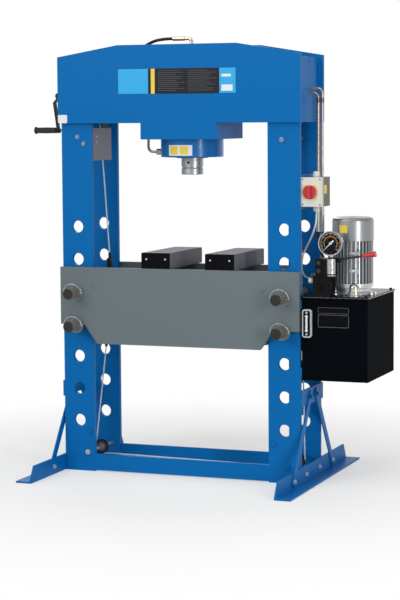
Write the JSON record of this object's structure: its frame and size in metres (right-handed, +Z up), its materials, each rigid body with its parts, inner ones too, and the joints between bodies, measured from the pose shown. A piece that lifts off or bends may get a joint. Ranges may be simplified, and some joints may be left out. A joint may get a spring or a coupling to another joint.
{
  "type": "hydraulic press",
  "caption": "H-frame hydraulic workshop press with a bolster on pins, a cable winch and an electric power unit on its side.",
  "frame": {"origin": "on the floor, midway between the columns and between their front and rear flats", "axes": "+X to the power unit's side, +Y to the back, +Z up"},
  "size_m": [1.7167, 1.07, 2.0045],
  "materials": {
    "blue_paint": "glossy",
    "grey_paint": "satin",
    "black_paint": "glossy",
    "block_paint": "satin",
    "dark_steel": "machined",
    "ground_steel": "ground",
    "zinc_steel": "zinc plated",
    "crank_paint": "satin",
    "grip_rubber": "matte",
    "wire_rope": "stranded",
    "motor_aluminium": "cast",
    "cowl_steel": "pressed",
    "lever_red": "glossy",
    "gauge_steel": "polished",
    "needle_white": "glossy",
    "cap_plastic": "glossy",
    "sight_plastic": "clear and white",
    "switch_plastic": "moulded",
    "knob_red": "glossy",
    "gland_plastic": "moulded",
    "pipe_steel": "tarnished",
    "hose_rubber": "matte",
    "cable_plastic": "sheathed"
  },
  "bodies": {
    "frame": {"left_front_flat": "blue_paint", "left_rear_flat": "blue_paint", "right_front_flat": "blue_paint", "right_rear_flat": "blue_paint", "beam_front_plate": "blue_paint", "beam_rear_plate": "blue_paint", "beam_end_plates": "blue_paint", "beam_ribs": "blue_paint", "cylinder_block": "blue_paint", "cylinder_barrel": "blue_paint", "gland_nut": "dark_steel", "cylinder_cap": "dark_steel", "winch_frame": "grey_paint", "rope_guard": "grey_paint", "pulley_axles": "zinc_steel", "lift_rope": "wire_rope", "levelling_rope": "wire_rope", "tie_bars": "blue_paint", "left_foot": "blue_paint", "right_foot": "blue_paint", "foot_braces": "blue_paint", "column_webs": "blue_paint", "frame_bolts": "zinc_steel", "oil_tank": "black_paint", "tank_lid": "black_paint", "pump_flange": "motor_aluminium", "motor": "motor_aluminium", "motor_cowl": "cowl_steel", "valve_base": "black_paint", "valve_manifold": "motor_aluminium", "pressure_gauge": "gauge_steel", "sight_gauge": "sight_plastic", "switch_box": "switch_plastic", "cable_glands": "gland_plastic", "steel_pipes": "pipe_steel", "hydraulic_fittings": "zinc_steel", "hydraulic_hoses": "hose_rubber", "power_cable": "cable_plastic"},
    "ram": {"ram": "ground_steel", "ram_nose": "ground_steel"},
    "bolster": {"bolster_front_plate": "grey_paint", "bolster_rear_plate": "grey_paint", "bolster_spacers": "grey_paint", "press_block_left": "block_paint", "press_block_right": "block_paint", "rope_anchors": "grey_paint"},
    "upper_left_pin": {"upper_left_pin": "zinc_steel"},
    "lower_left_pin": {"lower_left_pin": "zinc_steel"},
    "upper_right_pin": {"upper_right_pin": "zinc_steel"},
    "lower_right_pin": {"lower_right_pin": "zinc_steel"},
    "winch_drum": {"winch_drum": "zinc_steel"},
    "winch_crank": {"winch_crank": "crank_paint"},
    "crank_grip": {"crank_grip": "grip_rubber"},
    "base_left_pulley": {"base_left_pulley": "zinc_steel"},
    "base_right_pulley": {"base_right_pulley": "zinc_steel"},
    "top_right_pulley": {"top_right_pulley": "zinc_steel"},
    "valve_lever": {"valve_lever": "lever_red"},
    "switch_knob": {"switch_knob": "knob_red"},
    "gauge_needle": {"gauge_needle": "needle_white"},
    "filler_cap": {"filler_cap": "cap_plastic"}
  },
  "joints": [
    {"name": "ram_stroke", "type": "slide", "parent": "frame", "child": "ram", "axis": [0, 0, -1], "range_m": [0, 0.25]},
    {"name": "upper_left_pin_pull", "type": "slide", "parent": "frame", "child": "upper_left_pin", "axis": [0, -1, 0], "range_m": [0, 0.4]},
    {"name": "lower_left_pin_pull", "type": "slide", "parent": "frame", "child": "lower_left_pin", "axis": [0, -1, 0], "range_m": [0, 0.4]},
    {"name": "upper_right_pin_pull", "type": "slide", "parent": "frame", "child": "upper_right_pin", "axis": [0, -1, 0], "range_m": [0, 0.4]},
    {"name": "lower_right_pin_pull", "type": "slide", "parent": "frame", "child": "lower_right_pin", "axis": [0, -1, 0], "range_m": [0, 0.4]},
    {"name": "crank_turn", "type": "hinge", "parent": "frame", "child": "winch_crank", "pos_m": [-0.678, 0.033, 1.739], "axis": [1, 0, 0], "range_deg": [0, 32]},
    {"name": "drum_turn", "type": "hinge", "parent": "frame", "child": "winch_drum", "pos_m": [-0.48, 0.033, 1.64], "axis": [1, 0, 0], "range_deg": [-9, 0]},
    {"name": "bolster_lift", "type": "slide", "parent": "frame", "child": "bolster", "axis": [0, 0, 1], "range_m": [0, 0.0049]},
    {"name": "base_left_pulley_turn", "type": "hinge", "parent": "frame", "child": "base_left_pulley", "pos_m": [-0.4596, 0, 0.089], "axis": [0, 1, 0], "range_deg": [0, 10]},
    {"name": "base_right_pulley_turn", "type": "hinge", "parent": "frame", "child": "base_right_pulley", "pos_m": [0.515, 0, 0.074], "axis": [0, 1, 0], "range_deg": [0, 10]},
    {"name": "top_right_pulley_turn", "type": "hinge", "parent": "frame", "child": "top_right_pulley", "pos_m": [0.492, 0, 1.535], "axis": [0, 1, 0], "range_deg": [0, 10]},
    {"name": "grip_spin", "type": "hinge", "parent": "winch_crank", "child": "crank_grip", "pos_m": [-0.737, 0.033, 1.578], "axis": [1, 0, 0], "continuous": true},
    {"name": "lever_swing", "type": "hinge", "parent": "frame", "child": "valve_lever", "pos_m": [0.741, -0.135, 1.007], "axis": [0, 1, 0], "range_deg": [-12, 12]},
    {"name": "switch_turn", "type": "hinge", "parent": "frame", "child": "switch_knob", "pos_m": [0.618, -0.159, 1.304], "axis": [0, 1, 0], "range_deg": [0, 90]},
    {"name": "needle_swing", "type": "hinge", "parent": "frame", "child": "gauge_needle", "pos_m": [0.722, -0.182, 1.082], "axis": [0, 1, 0], "range_deg": [0, 270]},
    {"name": "filler_cap_lift", "type": "slide", "parent": "frame", "child": "filler_cap", "axis": [0, 0, 1], "range_m": [0, 0.05]}
  ],
  "couplings": [
    {"joint": "crank_turn", "follows": "bolster_lift", "rad_per_m": 112.55},
    {"joint": "drum_turn", "follows": "bolster_lift", "rad_per_m": -30.303},
    {"joint": "base_left_pulley_turn", "follows": "bolster_lift", "rad_per_m": 33.333},
    {"joint": "base_right_pulley_turn", "follows": "bolster_lift", "rad_per_m": 33.333},
    {"joint": "top_right_pulley_turn", "follows": "bolster_lift", "rad_per_m": 33.333}
  ]
}
